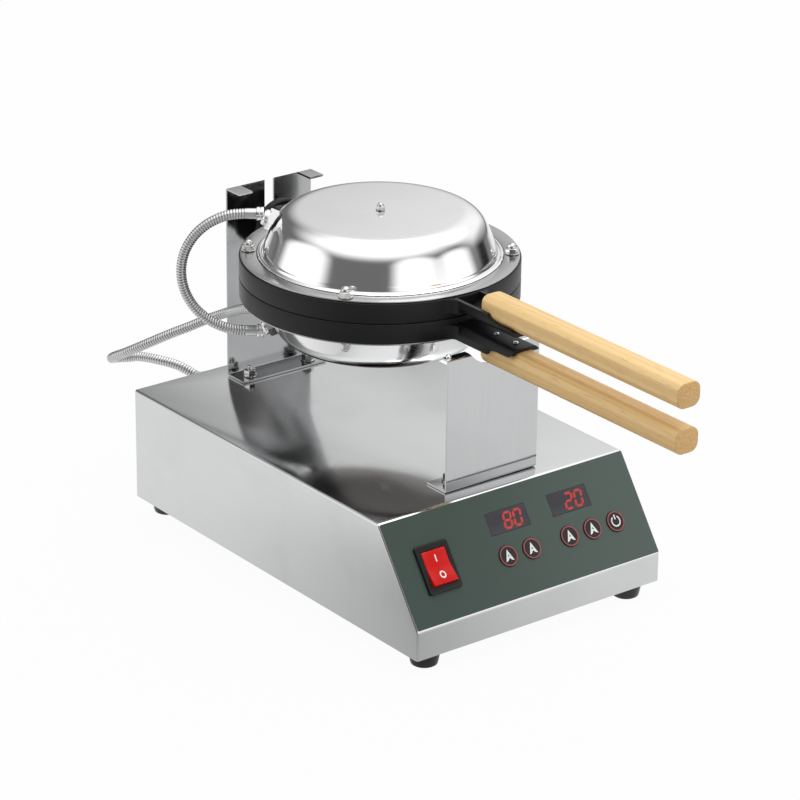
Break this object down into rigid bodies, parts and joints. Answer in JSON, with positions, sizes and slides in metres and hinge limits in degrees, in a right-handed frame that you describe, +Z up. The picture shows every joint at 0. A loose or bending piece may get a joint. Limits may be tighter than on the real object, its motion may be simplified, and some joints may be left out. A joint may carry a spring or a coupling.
{
  "type": "bubble waffle maker",
  "caption": "Electric bubble waffle maker: two round cell moulds with steel domes and wooden grips turn over on supports above a sloped-front control base.",
  "frame": {"origin": "on the table under the middle of the machine, without its conduits", "axes": "+Z up, +Y from the grips at the front to the hinge at the rear, +X to the right seen from the front"},
  "size_m": [0.2278, 0.5555, 0.2709],
  "materials": {
    "housing_steel": "satin, light grey",
    "plain_steel": "dull",
    "polished_steel": "mirror polished",
    "bright_steel": "bright",
    "black_casting": "cast, black non-stick coat",
    "wood": "clear lacquer",
    "rubber": "matte",
    "panel_film": "fine matte, dark green grey",
    "display_window": "dark glossy window",
    "black_plastic": "moulded, satin",
    "red_plastic": "gloss",
    "conduit_steel": "ribbed, bright",
    "circuit_board": "matte green",
    "heater_sheath": "dull"
  },
  "bodies": {
    "base": {"base_housing": "housing_steel", "bottom_plate": "plain_steel", "conduit_gland": "bright_steel", "control_board": "circuit_board", "control_overlay": "panel_film", "foot_front_left": "rubber", "foot_front_right": "rubber", "foot_rear_left": "rubber", "foot_rear_right": "rubber", "front_support": "polished_steel", "front_support_bolt_left": "plain_steel", "front_support_bolt_right": "plain_steel", "mains_gland": "black_plastic", "rear_support": "polished_steel", "rear_support_bolt_left": "plain_steel", "rear_support_bolt_right": "plain_steel", "supply_conduit": "conduit_steel", "switch_bezel": "black_plastic", "temperature_display": "display_window", "terminal_block": "black_plastic", "time_display": "display_window", "transformer": "plain_steel"},
    "lower_half": {"lower_clamp_nut_a": "bright_steel", "lower_clamp_nut_b": "bright_steel", "lower_clamp_nut_c": "bright_steel", "lower_clamp_nut_d": "bright_steel", "lower_clamp_ring": "bright_steel", "lower_dome": "polished_steel", "lower_dome_nut": "bright_steel", "lower_grip": "wood", "lower_grip_screw_front": "bright_steel", "lower_grip_screw_rear": "bright_steel", "lower_heater": "heater_sheath", "lower_hose_fitting": "bright_steel", "lower_mould": "black_casting", "supply_fitting": "bright_steel", "pivot_shaft": "bright_steel", "pivot_nut": "bright_steel", "hinge_pin": "bright_steel", "bridge_hose": "conduit_steel"},
    "upper_half": {"upper_clamp_nut_a": "bright_steel", "upper_clamp_nut_b": "bright_steel", "upper_clamp_nut_c": "bright_steel", "upper_clamp_nut_d": "bright_steel", "upper_clamp_ring": "bright_steel", "upper_dome": "polished_steel", "upper_dome_nut": "bright_steel", "upper_grip": "wood", "upper_grip_screw_front": "bright_steel", "upper_grip_screw_rear": "bright_steel", "upper_heater": "heater_sheath", "upper_hose_fitting": "bright_steel", "upper_mould": "black_casting"},
    "rocker": {"power_rocker": "red_plastic"},
    "start_stop_button": {"start_stop_key": "black_plastic"},
    "temperature_down_button": {"temperature_down_key": "black_plastic"},
    "temperature_up_button": {"temperature_up_key": "black_plastic"},
    "time_down_button": {"time_down_key": "black_plastic"},
    "time_up_button": {"time_up_key": "black_plastic"}
  },
  "joints": [
    {"name": "mould_turn", "type": "hinge", "parent": "base", "child": "lower_half", "pos_m": [0, 0, 0.2145], "axis": [0, 1, 0], "range_deg": [0, 180], "deforming": ["supply_conduit"]},
    {"name": "lid_open", "type": "hinge", "parent": "lower_half", "child": "upper_half", "pos_m": [0, 0.192, 0.2295], "axis": [1, 0, 0], "range_deg": [-112, 0], "deforming": ["bridge_hose"]},
    {"name": "power_switch", "type": "hinge", "parent": "base", "child": "rocker", "pos_m": [-0.0765, -0.08578, 0.06626], "axis": [1, 0, 0], "range_deg": [0, 14]},
    {"name": "start_stop_press", "type": "slide", "parent": "base", "child": "start_stop_button", "axis": [0, 0.8159, -0.5783], "range_m": [0, 0.0005], "stiffness_N_per_m": 200, "springref_m": -0.0005},
    {"name": "temperature_down_press", "type": "slide", "parent": "base", "child": "temperature_down_button", "axis": [0, 0.8159, -0.5783], "range_m": [0, 0.0005], "stiffness_N_per_m": 200, "springref_m": -0.0005},
    {"name": "temperature_up_press", "type": "slide", "parent": "base", "child": "temperature_up_button", "axis": [0, 0.8159, -0.5783], "range_m": [0, 0.0005], "stiffness_N_per_m": 200, "springref_m": -0.0005},
    {"name": "time_down_press", "type": "slide", "parent": "base", "child": "time_down_button", "axis": [0, 0.8159, -0.5783], "range_m": [0, 0.0005], "stiffness_N_per_m": 200, "springref_m": -0.0005},
    {"name": "time_up_press", "type": "slide", "parent": "base", "child": "time_up_button", "axis": [0, 0.8159, -0.5783], "range_m": [0, 0.0005], "stiffness_N_per_m": 200, "springref_m": -0.0005}
  ]
}
